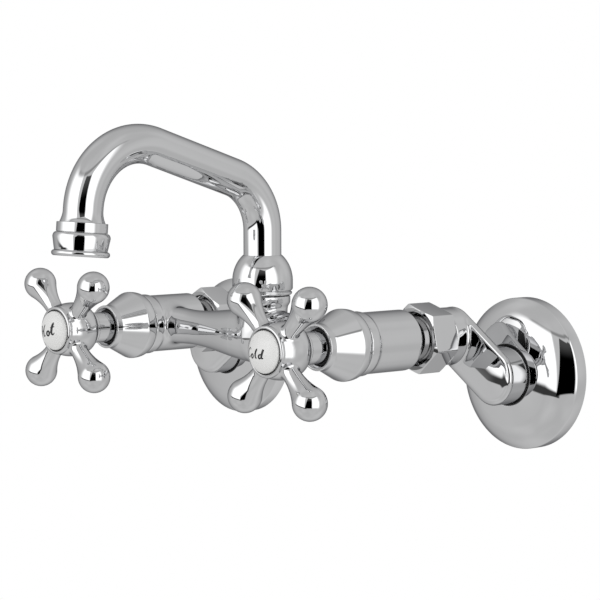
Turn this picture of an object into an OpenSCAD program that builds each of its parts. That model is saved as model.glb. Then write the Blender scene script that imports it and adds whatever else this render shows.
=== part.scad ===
// Wall-mounted two-handle bar faucet with swinging inlet arms and a swivel spout.
// The wall is the plane y = 0. The faucet stands out of it towards -Y, with +Z up.
// The origin lies on the wall, midway between the two valve axes and level with them.
// Along a valve axis, places are distances from the wall, and their names end in _d.
// Threads are plain cylinders of the thread's size.

/* [Valve body] */
// Distance between the hot and the cold valve axes
valve_spacing = 152.4; // [130:0.1:200]
// Radius of a valve barrel
barrel_r = 14; // [13.8:0.1:16]
// Length of a barrel from its rear shoulder to the bonnet
barrel_len = 32.5; // [30:0.5:50]
// Radius of the collar at the front of a barrel
barrel_collar_r = 14.7; // [14.2:0.1:16.2]
// Length of that collar
barrel_collar_len = 5.5; // [3:0.5:9]
// Radius of the male thread on a barrel's tail
tail_r = 10.45; // [10.2:0.05:11.2]
// Length of the threaded tail
tail_len = 14.3; // [9:0.1:20]
// Radius of the water inlet through the tail
inlet_bore_r = 7; // [5:0.1:7.4]
// Radius of the chamber round a cartridge
chamber_r = 9.5; // [9.3:0.1:9.9]
// Distance of the crossbar's axis behind the front of a barrel
bar_setback = 14.9; // [14:0.1:16]
// Radius of the crossbar at its waist
bar_waist_r = 8.5; // [7:0.1:10]
// Radius of the crossbar where it meets the hub
bar_hub_r = 13; // [11.5:0.1:13.4]
// Length over which the crossbar thins from the hub to its waist
bar_hub_reach = 52; // [35:1:58]
// Radius of the crossbar where it meets a barrel
bar_valve_r = 9.1; // [8.6:0.1:11]
// Length over which the crossbar widens from its waist to a barrel
bar_valve_reach = 20; // [10:1:28]
// Depth by which the crossbar sags at the hub
bar_sag = 2.2; // [0:0.1:3]
// Radius of the water passage through the crossbar
bar_bore_r = 5; // [3:0.1:6]

/* [Spout hub] */
// Radius of the hub's rim under the spout nut
hub_r = 13.2; // [12.8:0.1:14]
// Height of the hub's rim over the crossbar's axis
hub_top = 17.6; // [16:0.1:24]
// Depth of the hub below the crossbar's axis
hub_drop = 15.6; // [14:0.1:20]
// Radius of the thread that takes the spout nut
hub_thread_r = 10.45; // [10.2:0.05:11]
// Height of that thread over the hub's rim
hub_thread_len = 8; // [6:0.1:12]

/* [Union nuts] */
// Size across the flats of a union nut
nut_af = 28.6; // [26:0.1:34]
// Length of a union nut
nut_len = 14.5; // [12:0.1:18]
// Thickness of the nut's inward lip
nut_lip = 2.5; // [2:0.1:3.5]
// Thickness of the flat rubber washer between arm and barrel
union_washer_t = 2; // [1.5:0.1:3]
// Thickness of the spring ring that holds the nut on the arm
snap_ring_t = 1.5; // [1:0.1:2]
// Width of the spring ring's split
snap_ring_split = 3; // [1:0.5:6]

/* [Inlet arms] */
// Distance of an arm's end face from the wall
arm_reach = 42.7; // [42:0.1:60]
// Sideways offset between the two ends of an arm
arm_offset = 30; // [26:0.5:45]
// Angle of the arms below the horizontal
arm_drop = 35.2; // [0:0.1:60]
// Radius of an arm's body beside the nut
arm_r = 13.4; // [12.4:0.1:13.9]
// Radius of the neck inside the nut
arm_neck_r = 8.9; // [8.4:0.1:9.1]
// Length of the land in front of the spring ring
arm_land = 1.2; // [0.8:0.1:2]
// Distance from an arm's end face to its knee on the valve's side
arm_stem = 19.7; // [16:0.1:21]
// Depth of an arm's knee at the wall behind its widest section
arm_knee_h = 2.4; // [2.1:0.1:5]
// Radius of an arm's knee at the wall
arm_knee_r = 14; // [13.8:0.1:15]
// Radius of the collar that carries the wall flange
arm_collar_r = 13.5; // [12.5:0.1:13.7]
// Distance of an arm's wall end from the wall
arm_setback = 1; // [0.5:0.1:3]
// Radius of the threaded socket for the wall pipe
socket_r = 9.5; // [8:0.1:10]
// Depth of that socket
socket_len = 13; // [10:0.5:14]
// Radius of the water passage through an arm
arm_bore_r = 6; // [4:0.1:6.5]

/* [Wall flanges] */
// Radius of a wall flange
flange_r = 35.2; // [30:0.1:42]
// Height of a flange at the arm's collar
flange_h = 14.2; // [12:0.1:15]
// Height of a flange's straight rim
flange_rim = 5.4; // [3:0.1:7]
// Slope of a flange's dome where it meets the rim
flange_slope = 53; // [35:1:75]
// Wall of a flange
flange_wall = 1.6; // [1:0.1:2.2]
// Travel of a flange along the arm's collar
flange_travel = 3; // [1:0.1:4.5]

/* [Bonnets] */
// Length of a bonnet
bonnet_len = 21.1; // [20:0.1:26]
// Largest radius of a bonnet
bonnet_r = 16.35; // [16.2:0.05:19]
// Radius of a bonnet's front rim
bonnet_rim_r = 10.5; // [10.3:0.1:12]
// Radius of the hole in a bonnet's front
bonnet_hole_r = 8.2; // [7.8:0.1:8.7]
// Wall of a bonnet
bonnet_wall = 1.5; // [1:0.1:1.8]

/* [Cartridges] */
// Distance of the valve seat behind the crossbar's axis
seat_setback = 10.6; // [10:0.1:13]
// Radius of a cartridge's lower sleeve
sleeve_r = 8.9; // [8.6:0.1:9.1]
// Radius of the chamber that holds the discs
disc_bore_r = 7.6; // [7.3:0.1:7.8]
// Thickness of one ceramic disc
disc_t = 3; // [2.5:0.1:3.2]
// Height of the rubber seal under the discs
seat_washer_h = 4.5; // [3.5:0.1:5]
// Radius of the male thread in the barrel
cartridge_thread_r = 10.45; // [10.2:0.05:11.2]
// Length of that thread
cartridge_thread_len = 7.5; // [5:0.1:8]
// Size across the flats of a cartridge's hexagon
cartridge_af = 22; // [21.4:0.1:23]
// Length of that hexagon
cartridge_hex_len = 4.5; // [3:0.1:6]
// Radius of the neck that the bonnet screws on
cartridge_neck_r = 9; // [8.9:0.05:9.6]
// Radius of a spindle's journal
journal_r = 5.4; // [5:0.1:5.8]
// Radius of a spindle's splined end
spline_r = 3.95; // [3.5:0.05:4.3]

/* [Handles] */
// Gap between a bonnet and the handle's hub
handle_gap = 4.4; // [3:0.1:8]
// Length of a handle's hub from its rear edge to its front ring
hub_len = 25.6; // [24:0.1:32]
// Largest radius of a handle's hub
handle_hub_r = 12.9; // [12.4:0.1:14]
// Radius of the front ring round the button
ring_r = 11.5; // [11.3:0.1:12.2]
// Radius of the sleeve that dips into the bonnet
handle_sleeve_r = 7.4; // [6.8:0.1:7.6]
// Depth of the sleeve inside the bonnet
sleeve_dip = 2.1; // [1:0.1:2.4]
// Radius of the circle through the ball ends
ball_circle_r = 30.1; // [28:0.1:34]
// Radius of a ball end
ball_r = 7.8; // [6.5:0.1:8.4]
// Radius of an arm's neck at the hub
handle_neck_r = 4.1; // [3:0.1:5]
// Distance of the arms' plane behind the front ring
arms_setback = 7.1; // [6.6:0.1:10]
// Quarter turn of a handle's arms at rest, from upright
handle_rest = 45; // [0:1:89]
// Radius of the cup that the button sits in
cup_r = 10.1; // [9.9:0.1:10.4]
// Radius of the porcelain button
button_r = 9.4; // [9:0.1:9.8]
// Height of the button's edge over the front ring
button_rise = 0.9; // [0:0.1:2]
// Height of the button's crown over its edge
button_crown = 3.3; // [0.4:0.1:4]
// Radius of the handle screw's shank
screw_r = 2; // [1.5:0.1:2.4]
// Length of that shank
screw_len = 12; // [8:0.5:14]

/* [Spout] */
// Radius of the spout's tube
tube_r = 9; // [8.7:0.05:9.4]
// Wall of the spout's tube
tube_wall = 1.2; // [0.8:0.1:1.6]
// Height of the first bend's start over the crossbar's axis
post_top = 48.3; // [46:0.1:90]
// Radius of the first bend, at the tube's centre
first_bend_r = 26.9; // [20:0.1:40]
// Rise of the straight run over the horizontal
run_rise = 17.4; // [5:0.1:30]
// Length of the straight run
run_len = 48.5; // [35:0.1:90]
// Radius of the second bend, at the tube's centre
second_bend_r = 31.3; // [22:0.1:40]
// Lean of the outlet away from the post
outlet_lean = 4.9; // [0:0.1:15]
// Length of the tube after the second bend
drop_len = 6.1; // [5.8:0.1:8]
// Radius of the tube's flared end
flare_r = 10.3; // [9.6:0.1:10.8]
// Radius of the foot that turns in the hub
foot_r = 8; // [7.8:0.05:8.3]
// Depth of the foot below the hub's thread
foot_len = 21; // [19:0.1:24]
// Thickness of the nylon ring that carries the spout
glide_ring_t = 2.2; // [1.6:0.1:3]
// Thickness of a foot's rubber ring
o_ring_t = 1.08; // [1:0.02:1.2]
// Largest radius of the spout nut
dome_r = 14.4; // [13.9:0.1:16]

/* [Aerator] */
// Radius of the ferrule at the spout's end
ferrule_r = 11.5; // [11.3:0.1:12.4]
// Visible length of the ferrule
ferrule_len = 4.4; // [3.6:0.1:6]
// Radius of the ferrule's male thread
ferrule_thread_r = 10.8; // [10.4:0.05:11]
// Length of that thread
ferrule_thread_len = 4.5; // [3:0.1:6]
// Largest radius of the aerator's shell
shell_r = 12.95; // [12.6:0.05:14]
// Radius of the shell's waist
shell_waist_r = 11.85; // [11.8:0.05:12.4]
// Radius of the shell's bottom bead
bead_r = 13.1; // [12.6:0.1:14.2]
// Length of the shell with its bead
shell_len = 10.7; // [10.2:0.1:13]
// Height of the bottom bead
bead_h = 2.7; // [2:0.1:3]
// Radius of one water hole in the insert
jet_r = 0.9; // [0.5:0.05:1.1]

/* [Fits] */
// Radial gap of a running fit
run_gap = 0.05; // [0.03:0.01:0.09]
// Radial gap between parts that don't run on each other
loose_gap = 0.15; // [0.1:0.05:0.25]
// Gap along the axis between stacked parts
end_gap = 0.1; // [0.05:0.05:0.2]
// Radial gap between a flange and the arm's collar
flange_gap = 0.35; // [0.2:0.05:0.5]

/* [Hidden] */
hot = -1;
cold = 1;

// Places along a valve axis
tail_d = arm_reach + union_washer_t;
barrel_back_d = tail_d + tail_len;
barrel_front_d = barrel_back_d + barrel_len;
bar_d = barrel_front_d - bar_setback;
snap_ring_d = arm_reach - arm_land - snap_ring_t;
nut_back_d = snap_ring_d - nut_lip;
knee_d = arm_reach - arm_stem;
link_back_d = flange_h + flange_travel + 0.4;
arm_knee_d = link_back_d + arm_knee_h;
passage_d = link_back_d + arm_bore_r + 2;
bonnet_front_d = barrel_front_d + bonnet_len;
handle_hub_d = bonnet_front_d + handle_gap;
ring_d = handle_hub_d + hub_len;
sleeve_end_d = bonnet_front_d - sleeve_dip;
arms_d = ring_d - arms_setback;

// Cartridge stack, from the seat outwards
seat_d = bar_d - seat_setback;
fixed_disc_d = seat_d + seat_washer_h;
turning_disc_d = fixed_disc_d + disc_t;
window_d = turning_disc_d + disc_t;
window_len = 5;
fork_d = window_d + window_len + 1;
fork_t = 2;
fork_slot_w = 3;
fork_grip = 1.5;
shoulder_d = fork_d + fork_t + end_gap;
cartridge_front_d = sleeve_end_d - 0.7;
journal_end_d = cartridge_front_d - 7;
guide_r = journal_r - 0.9;
spindle_ring_d = barrel_front_d + 1;

// Handle bore, screw and button
web_depth = 15.4;
web_t = 2.8;
web_d = ring_d - web_depth;
screw_head_r = 3.6;
screw_head_h = 2.6;
button_t = 3.2;
cup_d = ring_d - button_t;
recess_r = 8;
spigot_h = 4;
spindle_tip_d = web_d - 2 * end_gap;

// Heights at the hub, over the crossbar's axis
thread_top = hub_top + hub_thread_len;
foot_bottom = thread_top - foot_len;
glide_ring_z = thread_top + end_gap;
shoulder_z = glide_ring_z + glide_ring_t + end_gap;
socket_bottom = foot_bottom - 3;
foot_groove_r = foot_r - o_ring_t;
foot_bore_r = foot_r - 2.4;
ring_grooves = [foot_bottom + 4, foot_bottom + 9];
glide_groove_r = foot_r - 0.6;

// Bends of the spout
first_turn = 90 - run_rise;
second_turn = 90 + run_rise - outlet_lean;
flare_len = 5.3;
spigot_len = 3;

// Places along the outlet, from the end of the second bend
ferrule_s = drop_len;
thread_s = ferrule_s + ferrule_len;
thread_end_s = thread_s + ferrule_thread_len;
washer_t = 1.1;
insert_s = thread_end_s + washer_t + 2 * end_gap;
shell_s = thread_s + end_gap;
shell_end_s = shell_s + shell_len;
lip_t = 1;

// Finishes
chrome = [0.78, 0.79, 0.80];
brass = [0.80, 0.66, 0.36];
rubber = [0.12, 0.12, 0.12];
nylon = [0.88, 0.88, 0.84];
ceramic = [0.93, 0.92, 0.88];
porcelain = [0.97, 0.97, 0.95];
steel = [0.62, 0.63, 0.65];

$fn = 96;

// Points of an elliptical arc about [x, y]
function arc(x, y, rx, ry, from, to, steps = 8) =
    [for (i = [0:steps]) let (a = from + (to - from) * i / steps) [x + rx * cos(a), y + ry * sin(a)]];

// Smooth change from 1 to 0 while t goes from 0 to 1
function ease(t) = (1 + cos(180 * min(max(t, 0), 1))) / 2;

module on_valve(side) {
    translate([side * valve_spacing / 2, 0, 0]) rotate([90, 0, 0]) children();
}

// Step from the cold valve's axis to its flange's axis
module at_offset() {
    translate([arm_offset * cos(arm_drop), -arm_offset * sin(arm_drop), 0]) children();
}

// The inlet side of the hot valve mirrors that of the cold one
module on_inlet(side) {
    on_valve(side) mirror([side == hot ? 1 : 0, 0, 0]) children();
}

module on_hub() {
    translate([0, -bar_d, 0]) children();
}

module ring(outer, inner, from, to) {
    translate([0, 0, from]) difference() {
        cylinder(h = to - from, r = outer);
        translate([0, 0, -1]) cylinder(h = to - from + 2, r = inner);
    }
}

module rod(r, from, to) {
    translate([0, 0, from]) cylinder(h = to - from, r = r);
}

// A hexagon with a corner up, its ends chamfered
module hexagon(af, from, to) {
    corner = af / 2 / cos(30);
    chamfer = (corner - af / 2) * tan(17);
    intersection() {
        translate([0, 0, from]) rotate([0, 0, 90]) cylinder(h = to - from, r = corner, $fn = 6);
        rotate_extrude() polygon([
            [0, from], [af / 2, from], [corner, from + chamfer],
            [corner, to - chamfer], [af / 2, to], [0, to]
        ]);
    }
}

// The cast body

module barrel_outside() {
    edge = 0.8;
    rotate_extrude() polygon(concat([
        [0, tail_d], [tail_r - edge / 2, tail_d], [tail_r, tail_d + edge / 2],
        [tail_r, barrel_back_d], [barrel_r - edge, barrel_back_d], [barrel_r, barrel_back_d + edge],
        [barrel_r, barrel_front_d - barrel_collar_len - edge],
        [barrel_collar_r, barrel_front_d - barrel_collar_len],
        [barrel_collar_r, barrel_front_d], [0, barrel_front_d]
    ]));
}

module barrel_inside() {
    rotate_extrude() polygon([
        [0, tail_d - 1], [inlet_bore_r, tail_d - 1], [inlet_bore_r, seat_d], [chamber_r, seat_d],
        [chamber_r, barrel_front_d - cartridge_thread_len - 1],
        [cartridge_thread_r + run_gap, barrel_front_d - cartridge_thread_len - 1],
        [cartridge_thread_r + run_gap, barrel_front_d + 1], [0, barrel_front_d + 1]
    ]);
}

// Half of the crossbar's outline, waisted between the hub and a barrel
function bar_radius(x) =
    bar_waist_r
    + (bar_hub_r - bar_waist_r) * ease(x / bar_hub_reach)
    + (bar_valve_r - bar_waist_r) * ease((valve_spacing / 2 - barrel_r / 2 - x) / bar_valve_reach);

module crossbar() {
    steps = 14;
    half = valve_spacing / 2;
    outline = [for (i = [0:steps]) let (x = half * i / steps) [bar_radius(x), x]];
    for (side = [hot, cold]) translate([0, 0, -bar_sag])
        rotate([0, side * (90 - atan(bar_sag / half)), 0]) rotate_extrude()
            polygon(concat([[0, 0]], outline, [[0, half]]));
}

module hub_outside() {
    waist = hub_r - 1.4;
    bowl_r = bar_hub_r + 0.2;
    cove_z = hub_top - 9;
    lean = acos(waist / bowl_r);
    rotate_extrude() polygon(concat(
        [[0, -hub_drop]],
        arc(0, -bar_sag, bowl_r, hub_drop - bar_sag, -84, 0, 9),
        arc(0, -bar_sag, bowl_r, (cove_z + bar_sag) / sin(lean), lean / 4, lean, 3),
        arc(hub_r, hub_top - 6, 1.4, 3, 180, 110, 5),
        [[hub_r, hub_top - 2.6], [hub_r, hub_top], [hub_thread_r, hub_top],
         [hub_thread_r, thread_top], [0, thread_top]]
    ));
}

module mixer_body() {
    color(chrome) difference() {
        union() {
            for (side = [hot, cold]) on_valve(side) barrel_outside();
            on_hub() crossbar();
            on_hub() hub_outside();
        }
        for (side = [hot, cold]) on_valve(side) barrel_inside();
        on_hub() rotate([0, 90, 0]) rod(bar_bore_r, -valve_spacing / 2, valve_spacing / 2);
        on_hub() rod(foot_r + run_gap, socket_bottom, thread_top + 1);
    }
}

// The valves

module bonnet() {
    base_r = barrel_collar_r + 0.1;
    widest = barrel_front_d + 5.5;
    cone_end = bonnet_front_d - 4;
    neck_start = cartridge_front_d - 6;
    inner = bonnet_r - bonnet_wall;
    color(chrome) rotate_extrude() polygon(concat(
        [[base_r - bonnet_wall, barrel_front_d], [base_r, barrel_front_d]],
        arc(base_r, widest, bonnet_r - base_r, 5, -80, 0, 6),
        arc(bonnet_r - 2, widest, 2, 2.4, 10, 56, 4),
        [[bonnet_rim_r + 0.3, cone_end], [bonnet_rim_r, cone_end + 0.6],
         [bonnet_rim_r, bonnet_front_d - 0.7], [bonnet_rim_r - 0.7, bonnet_front_d],
         [bonnet_hole_r, bonnet_front_d], [bonnet_hole_r, cartridge_front_d],
         [cartridge_neck_r + run_gap, cartridge_front_d],
         [cartridge_neck_r + run_gap, neck_start], [cartridge_neck_r + 2.2, neck_start]],
        [[inner - 0.7, widest + 2], [inner, widest], [base_r - bonnet_wall, widest - 3.5]]
    ));
}

module cartridge_body() {
    window_w = 9;
    hex_end = barrel_front_d + cartridge_hex_len;
    color(brass) difference() {
        union() {
            rod(sleeve_r, seat_d + 1, barrel_front_d);
            rod(cartridge_thread_r, barrel_front_d - cartridge_thread_len, barrel_front_d);
            hexagon(cartridge_af, barrel_front_d, hex_end);
            rod(cartridge_neck_r, hex_end - 1, cartridge_front_d - end_gap);
        }
        rod(disc_bore_r, seat_d, shoulder_d);
        rod(journal_r + run_gap, shoulder_d - 1, journal_end_d + end_gap);
        rod(guide_r + run_gap, journal_end_d, cartridge_front_d + 1);
        translate([-sleeve_r - 1, -window_w / 2, window_d + 0.5])
            cube([2 * sleeve_r + 2, window_w, window_len]);
    }
}

module spindle() {
    ring_w = 1.3;
    tab_w = fork_slot_w - 0.2;
    tab_h = fork_d - window_d + fork_grip - end_gap;
    color(brass) difference() {
        union() {
            rotate_extrude() polygon([
                [0, fork_d], [disc_bore_r - loose_gap, fork_d], [disc_bore_r - loose_gap, fork_d + fork_t],
                [journal_r, fork_d + fork_t], [journal_r, spindle_ring_d],
                [journal_r - 1.2, spindle_ring_d], [journal_r - 1.2, spindle_ring_d + ring_w],
                [journal_r, spindle_ring_d + ring_w], [journal_r, journal_end_d],
                [guide_r, journal_end_d], [guide_r, cartridge_front_d + 1],
                [spline_r, cartridge_front_d + 1.6], [spline_r, spindle_tip_d - 0.5],
                [spline_r - 0.5, spindle_tip_d], [0, spindle_tip_d]
            ]);
            for (end = [-1, 1]) translate([end * 5.4 - 1.5, -tab_w / 2, fork_d - tab_h])
                cube([3, tab_w, tab_h + 0.5]);
        }
        rod(screw_r + run_gap, web_d + web_t - screw_len - 1, spindle_tip_d + 1);
    }
}

// A ceramic disc with its two water openings
module disc(from) {
    difference() {
        rod(disc_bore_r - loose_gap, from, from + disc_t);
        for (end = [-1, 1]) translate([0, end * 3.9, 0]) rod(2.2, from - 1, from + disc_t + 1);
    }
}

module turning_disc() {
    color(ceramic) difference() {
        disc(turning_disc_d);
        for (end = [-1, 1]) translate([end * 5.9 - 2.2, -fork_slot_w / 2, window_d - fork_grip])
            cube([4.4, fork_slot_w, fork_grip + 1]);
    }
}

module fixed_disc() {
    color(ceramic) disc(fixed_disc_d);
}

module seat_washer() {
    color(rubber) ring(disc_bore_r - loose_gap, 6.2, seat_d, fixed_disc_d);
}

// A rubber ring that fills a groove, level with the shaft it sits in
module o_ring(shaft_r, thickness, at) {
    translate([0, 0, at]) rotate_extrude()
        translate([shaft_r - thickness / 2 + 0.01, 0]) circle(r = thickness / 2, $fn = 32);
}

module spindle_o_ring() {
    color(rubber) o_ring(journal_r, 1.2, spindle_ring_d + 0.65);
}

// The handles

module handle_outside() {
    rear_r = handle_sleeve_r + 1.2;
    belly_d = ring_d - 7;
    rotate_extrude() polygon(concat(
        [[0, sleeve_end_d], [handle_sleeve_r - 0.3, sleeve_end_d],
         [handle_sleeve_r, sleeve_end_d + 0.3], [handle_sleeve_r, handle_hub_d + 1.6],
         [rear_r - 0.5, handle_hub_d + 1.6], [rear_r, handle_hub_d + 2.2]],
        arc(rear_r, belly_d, handle_hub_r - rear_r, belly_d - handle_hub_d - 3, -78, 0, 9),
        arc(ring_r, belly_d, handle_hub_r - ring_r, 5.4, 12, 70, 5),
        [[ring_r, ring_d - 1.6], [ring_r, ring_d - 0.5], [ring_r - 0.5, ring_d], [0, ring_d]]
    ));
}

// One arm along +Z from the hub's axis, a ball that narrows towards the hub
module handle_arm() {
    start = 6;
    waist = handle_hub_r + 0.5;
    open = 65;
    rise = ball_circle_r - ball_r * cos(open) - waist;
    widen = ball_r * sin(open) - handle_neck_r;
    steep = rise / tan(open);
    blend = [
        for (i = [0:6]) let (t = i / 6)
        [handle_neck_r + widen * t * t * (3 - 2 * t) - steep * t * t * (1 - t), waist + rise * t]
    ];
    rotate_extrude() polygon(concat(
        [[0, start], [handle_neck_r + 0.5, start], [handle_neck_r + 0.3, handle_hub_r - 1.2]],
        blend,
        arc(0, ball_circle_r, ball_r, ball_r, open - 81, 90, 11)
    ));
}

module cross_handle() {
    color(chrome) difference() {
        union() {
            handle_outside();
            for (turn = [0:90:270]) translate([0, 0, arms_d])
                rotate([0, 0, turn + handle_rest]) rotate([-90, 0, 0]) handle_arm();
        }
        rod(spline_r + run_gap, sleeve_end_d - 1, web_d);
        rod(guide_r + run_gap, sleeve_end_d - 1, cartridge_front_d + 2.4);
        rod(screw_r + loose_gap, web_d - 1, ring_d);
        rod(recess_r, web_d + web_t, ring_d);
        rod(cup_r, cup_d, ring_d + 1);
    }
}

module handle_screw() {
    head_d = web_d + web_t;
    color(steel) difference() {
        union() {
            rod(screw_r, head_d - screw_len, head_d + 0.5);
            rotate_extrude() polygon(concat(
                [[0, head_d], [screw_head_r, head_d], [screw_head_r, head_d + 1.2]],
                arc(screw_head_r - 1.4, head_d + 1.2, 1.4, screw_head_h - 1.2, 20, 90, 4),
                [[0, head_d + screw_head_h]]
            ));
        }
        for (turn = [0, 90]) rotate([0, 0, turn])
            translate([-2, -0.4, head_d + 1]) cube([4, 0.8, screw_head_h]);
    }
}

module index_button() {
    edge_d = ring_d + button_rise - 0.3;
    sphere_r = (button_r * button_r + button_crown * button_crown) / 2 / button_crown;
    half_angle = asin((button_r - 0.4) / sphere_r);
    dome = [for (i = [0:6]) let (a = half_angle * (1 - i / 6))
        [sphere_r * sin(a), edge_d + 0.3 + sphere_r * (cos(a) - cos(half_angle))]];
    color(porcelain) rotate_extrude() polygon(concat(
        [[0, cup_d - spigot_h], [recess_r - loose_gap, cup_d - spigot_h],
         [recess_r - loose_gap, cup_d], [button_r, cup_d], [button_r, edge_d]],
        dome
    ));
}

// The inlet side

module union_nut() {
    nut_front_d = nut_back_d + nut_len;
    color(chrome) difference() {
        hexagon(nut_af, nut_back_d, nut_front_d);
        rod(tail_r + run_gap, snap_ring_d, nut_front_d + 1);
        rod(arm_neck_r + loose_gap, nut_back_d - 1, nut_front_d);
    }
}

module union_washer() {
    color(rubber) ring(tail_r - 0.4, inlet_bore_r + 0.5, arm_reach, tail_d);
}

module snap_ring() {
    color(steel) difference() {
        ring(tail_r - 0.6, arm_neck_r - 0.75, snap_ring_d + end_gap / 2, snap_ring_d + snap_ring_t - end_gap / 2);
        translate([0, -snap_ring_split / 2, snap_ring_d - 1]) cube([tail_r, snap_ring_split, snap_ring_t + 2]);
    }
}

module arm_stem_outside() {
    rotate_extrude() polygon([
        [0, knee_d], [arm_r - 0.05, knee_d], [arm_r - 0.05, nut_back_d - 1.2], [arm_r - 0.9, nut_back_d - 0.3],
        [arm_neck_r, nut_back_d - 0.3], [arm_neck_r, snap_ring_d], [arm_neck_r - 0.8, snap_ring_d],
        [arm_neck_r - 0.8, snap_ring_d + snap_ring_t], [arm_neck_r, snap_ring_d + snap_ring_t],
        [arm_neck_r, arm_reach], [0, arm_reach]
    ]);
}

// A knee with a domed front and a flat back
module arm_knee(knee_r, widest_d) {
    edge = 2;
    rotate_extrude($fn = 32) polygon(concat(
        [[0, link_back_d]],
        arc(knee_r - edge, link_back_d + edge, edge, edge, -90, 0, 3),
        arc(0, widest_d, knee_r, knee_r, 0, 90, 8)
    ));
}

module swing_arm() {
    overrun = 3;
    color(chrome) difference() {
        union() {
            arm_stem_outside();
            hull() {
                arm_knee(arm_r, knee_d);
                at_offset() arm_knee(arm_knee_r, arm_knee_d);
            }
            at_offset() rod(arm_collar_r, arm_setback, arm_knee_d);
        }
        rod(arm_bore_r, passage_d - overrun, arm_reach + 1);
        translate([0, 0, passage_d]) rotate([0, 0, -arm_drop]) rotate([0, 90, 0])
            rod(arm_bore_r - 0.5, 0, arm_offset);
        at_offset() rod(arm_bore_r, arm_setback + 1, passage_d + overrun);
        at_offset() rod(socket_r, arm_setback - 1, arm_setback + socket_len);
    }
}

module wall_flange() {
    hole_r = arm_collar_r + flange_gap;
    edge_r = flange_r - 0.6;
    edge_h = flange_rim + 0.7;
    dome_r = (flange_h - edge_h) / (1 - cos(flange_slope));
    flat_r = edge_r - dome_r * sin(flange_slope);
    color(chrome) rotate_extrude() polygon(concat(
        [[flange_r, 0], [flange_r, flange_rim], [edge_r + 0.3, edge_h - 0.2]],
        arc(flat_r, flange_h - dome_r, dome_r, dome_r, 90 - flange_slope, 88, 12),
        [[hole_r + 0.5, flange_h], [hole_r, flange_h - 0.5], [hole_r, flange_h - flange_wall - 1.4]],
        arc(flat_r, flange_h - dome_r, dome_r - flange_wall, dome_r - flange_wall, 88, 94 - flange_slope, 12),
        [[flange_r - flange_wall, flange_rim - flange_wall * 0.4], [flange_r - flange_wall, 0]]
    ));
}

// The spout

// The tube along a bend that starts upright at the origin and leans towards -Y
module bend(bend_r, turn) {
    translate([0, -bend_r, 0]) rotate([90, 0, 90]) rotate_extrude(angle = turn) translate([bend_r, 0])
        difference() {
            circle(r = tube_r);
            circle(r = tube_r - tube_wall);
        }
}

// The place and direction at such a bend's end
module past_bend(bend_r, turn) {
    translate([0, -bend_r, 0]) rotate([turn, 0, 0]) translate([0, bend_r, 0]) children();
}

module past_first_bend() {
    translate([0, 0, post_top]) past_bend(first_bend_r, first_turn) children();
}

// The outlet's own place, its +Z pointing where the water leaves
module at_outlet() {
    on_hub() past_first_bend() translate([0, 0, run_len]) past_bend(second_bend_r, second_turn) children();
}

module straight_tube(from, to) {
    ring(tube_r, tube_r - tube_wall, from, to);
}

// A hair-thin band over the joint of a bend and a straight piece
module seam() {
    ring(tube_r + 0.02, tube_r - tube_wall - 0.02, -0.2, 0.2);
}

// The turned foot, with grooves for the rubber rings and the glide ring
module foot() {
    groove_w = 1.4;
    top = shoulder_z + 2;
    rotate_extrude() polygon(concat(
        [[foot_bore_r, foot_bottom], [foot_r - 0.6, foot_bottom], [foot_r, foot_bottom + 0.8]],
        [for (z = ring_grooves) each [
            [foot_r, z], [foot_groove_r, z], [foot_groove_r, z + groove_w], [foot_r, z + groove_w]
        ]],
        [[foot_r, glide_ring_z], [glide_groove_r, glide_ring_z],
         [glide_groove_r, shoulder_z - end_gap], [tube_r, shoulder_z - end_gap],
         [tube_r, top], [tube_r - tube_wall, top], [tube_r - tube_wall, top - 0.5],
         [foot_bore_r, top - 2]]
    ));
}

// The flared end, with a plain spigot inside the ferrule
module flare() {
    start = drop_len - flare_len;
    bore_r = tube_r - tube_wall;
    rotate_extrude() polygon(concat(
        [[bore_r, start]],
        [for (i = [0:6]) let (t = i / 6) [tube_r + (flare_r - tube_r) * t * t, start + flare_len * t]],
        [[tube_r, drop_len], [tube_r, drop_len + spigot_len], [bore_r, drop_len + spigot_len]]
    ));
}

module spout_tube() {
    color(chrome) union() {
        on_hub() past_first_bend() seam();
        at_outlet() seam();
        on_hub() foot();
        on_hub() straight_tube(shoulder_z + 2, post_top);
        on_hub() translate([0, 0, post_top]) bend(first_bend_r, first_turn);
        on_hub() past_first_bend() straight_tube(0, run_len);
        on_hub() past_first_bend() translate([0, 0, run_len]) bend(second_bend_r, second_turn);
        at_outlet() straight_tube(0, drop_len - flare_len);
        at_outlet() flare();
    }
}

module spout_nut() {
    foot_z = hub_top + 0.3;
    middle = foot_z + 7.8;
    half = asin((foot_z + 4 - middle) / dome_r);
    top_r = tube_r + 0.3;
    top = middle + sqrt(dome_r * dome_r - top_r * top_r);
    color(chrome) on_hub() rotate_extrude() polygon(concat(
        [[hub_thread_r + run_gap, foot_z], [dome_r - 1, foot_z], [dome_r - 0.4, foot_z + 0.4],
         [dome_r - 0.4, foot_z + 1.2], [dome_r - 1, foot_z + 1.5], [dome_r - 0.8, foot_z + 1.9],
         [dome_r * cos(half), foot_z + 2.2]],
        arc(0, middle, dome_r, dome_r, half, acos(top_r / dome_r), 14),
        [[tube_r + run_gap, top], [tube_r + run_gap, shoulder_z],
         [hub_thread_r + run_gap, shoulder_z]]
    ));
}

module spout_glide_ring() {
    split_w = 2;
    color(nylon) on_hub() difference() {
        ring(hub_thread_r - 0.15, glide_groove_r + run_gap, glide_ring_z, glide_ring_z + glide_ring_t);
        translate([0, -split_w / 2, glide_ring_z - 1]) cube([hub_thread_r, split_w, glide_ring_t + 2]);
    }
}

module spout_o_rings() {
    color(rubber) on_hub() for (z = ring_grooves) o_ring(foot_r, o_ring_t, z + 0.7);
}

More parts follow.
